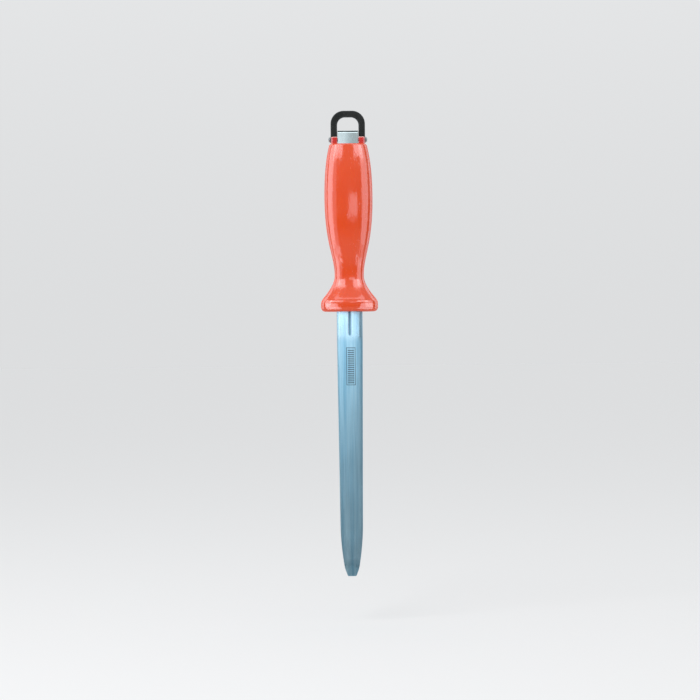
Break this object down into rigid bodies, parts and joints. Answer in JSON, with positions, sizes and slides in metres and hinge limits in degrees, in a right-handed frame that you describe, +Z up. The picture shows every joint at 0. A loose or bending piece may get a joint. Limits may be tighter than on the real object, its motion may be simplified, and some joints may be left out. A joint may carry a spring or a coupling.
{
  "type": "knife sharpening steel",
  "caption": "Oval knife sharpening steel with a waisted, guarded two-shell plastic handle and a black hanging bail that swings on a pin at the handle's end.",
  "frame": {"origin": "the hanging eye: the middle of the underside of the bail's arch, where a hook bears", "axes": "+Z up along the steel from the tip to the bail, +X to the right seen from the front, -Y out of the front face"},
  "size_m": [0.0438, 0.034, 0.3572],
  "materials": {
    "handle_red": "gloss",
    "rod_steel": "satin",
    "block_chrome": "polished",
    "black_bail": "satin",
    "plain_steel": "satin"
  },
  "bodies": {
    "hanger": {"bail": "black_bail"},
    "steel": {"sharpening_rod": "rod_steel", "shoulder_plate": "plain_steel", "handle_front_shell": "handle_red", "handle_back_shell": "handle_red", "end_plate": "plain_steel", "end_block": "block_chrome", "bail_pin": "plain_steel", "pin_washer_left": "plain_steel", "pin_washer_right": "plain_steel"}
  },
  "joints": [
    {"name": "bail_pivot", "type": "hinge", "parent": "hanger", "child": "steel", "pos_m": [0, 0, -0.0171], "axis": [1, 0, 0], "range_deg": [-40, 40]}
  ]
}
